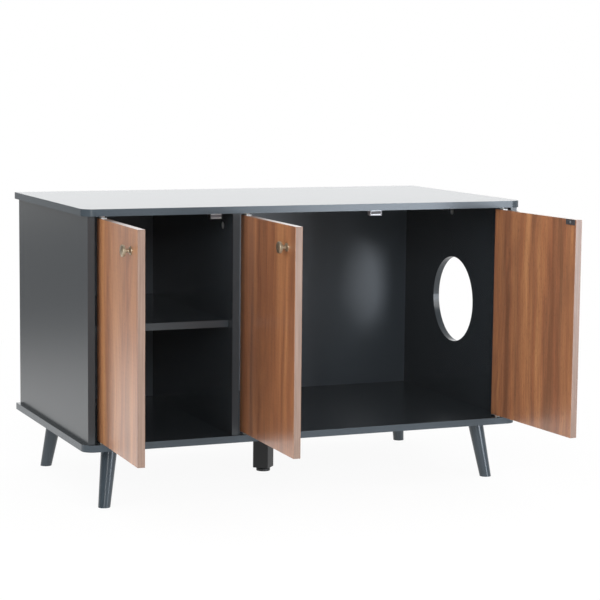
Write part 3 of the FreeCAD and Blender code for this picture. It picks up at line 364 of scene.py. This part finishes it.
def studio_world():
    """White to the camera and an even pale light on what is matt. Reflections see a room that is
    white behind the cabinet, dimmer to 0.40 in front of it, and dark and warm at its left."""
    world = bpy.data.worlds.new("studio_world")
    bpy.context.scene.world = world
    world.use_nodes = True
    tree = world.node_tree
    tree.nodes.clear()
    light_path = add(tree, "LightPath")
    toward = add(tree, "SeparateXYZ", {"Vector": add(tree, "TexCoord").outputs["Generated"]})
    behind = add(tree, "MapRange", {"Value": toward.outputs["Y"], "From Min": -0.6,
                                    "From Max": 0.7, "To Min": 0.40, "To Max": 1.0})
    left = add(tree, "MapRange", {"Value": toward.outputs["X"], "From Min": -0.45,
                                  "From Max": -0.05, "To Min": 0.12, "To Max": 1.0})
    coolness = add(tree, "MapRange", {"Value": toward.outputs["X"], "From Min": -0.6,
                                      "From Max": 0.0, "To Min": 0.0, "To Max": 1.0})
    walls = add(tree, "Mix", {"Factor": coolness.outputs["Result"], "A": linear("#FFFCF4"),
                              "B": linear("#FBFDFF")}, data_type="RGBA")
    room = add(tree, "Math", {0: behind.outputs["Result"], 1: left.outputs["Result"]},
               operation="MULTIPLY")
    ambient = add(tree, "Background", {"Color": WHITE, "Strength": 0.95})
    mirrored = add(tree, "Background", {"Color": walls.outputs["Result"],
                                        "Strength": room.outputs[0]})
    white = add(tree, "Background", {"Color": WHITE, "Strength": 1.0})
    shiny = add(tree, "MixShader", {"Fac": light_path.outputs["Is Glossy Ray"],
                                    1: ambient.outputs[0], 2: mirrored.outputs[0]})
    seen = add(tree, "MixShader", {"Fac": light_path.outputs["Is Camera Ray"],
                                   1: shiny.outputs[0], 2: white.outputs[0]})
    add(tree, "OutputWorld", {"Surface": seen.outputs[0]})


def softbox(name, position, target, width, height, watts, colour="#FFFFFF"):
    """A rectangular lamp that faces its target, out of the camera's sight."""
    lamp = bpy.data.lights.new(name, "AREA")
    lamp.shape = "RECTANGLE"
    lamp.size, lamp.size_y, lamp.energy, lamp.color = width, height, watts, linear(colour)[:3]
    holder = bpy.data.objects.new(name, lamp)
    holder.location = position
    direction = Vector(target) - Vector(position)
    holder.rotation_euler = direction.to_track_quat("-Z", "Y").to_euler()
    holder.visible_camera = False
    bpy.context.scene.collection.objects.link(holder)


def studio_camera():
    """The photograph's view: a long lens from the front left, a little above the cabinet's top.
    Its place, turn and lens were fitted to the cabinet's straight edges."""
    data = bpy.data.cameras.new("studio_camera")
    data.sensor_width = 36.0
    data.lens = 116.307
    data.clip_end = 100.0
    camera = bpy.data.objects.new("studio_camera", data)
    place = Matrix.Translation((-1.638795, -4.084588, 0.932300))
    turn = Matrix(((0.921482, 0.037701, -0.386587), (-0.388290, 0.115284, -0.914298),
                   (0.010098, 0.992617, 0.120871)))
    camera.matrix_world = place @ turn.to_4x4()
    bpy.context.scene.collection.objects.link(camera)
    bpy.context.scene.camera = camera


studio_floor()
studio_world()
softbox("key_left", (-3.6, -2.2, 2.4), (-0.2, -0.2, 0.35), 2.2, 2.2, 50.0)
softbox("front", (-1.3, -4.6, 1.9), (-0.1, 0.0, 0.35), 1.6, 1.2, 84.0)
softbox("fill_right", (2.3, -3.6, 1.5), (0.1, 0.0, 0.35), 1.6, 1.6, 34.0)
# a cool lamp near the floor shows as the soft glow on the back of the right bay
softbox("low_right", (1.65, -3.1, 0.32), (0.1, 0.2, 0.4), 1.0, 0.9, 30.0, "#E4EEFA")
# a narrow upright lamp, mirrored low on the left door
softbox("strip_left", (-2.0, -4.1, 0.60), (-0.5, -0.2, 0.40), 0.3, 1.0, 9.0)
# the lit backdrop, mirrored at a low angle in the top
softbox("backdrop", (2.9, 4.5, 1.7), (2.9, 0.0, 1.2), 6.4, 2.6, 42.0)
studio_camera()

bpy.context.scene.view_settings.view_transform = "Standard"
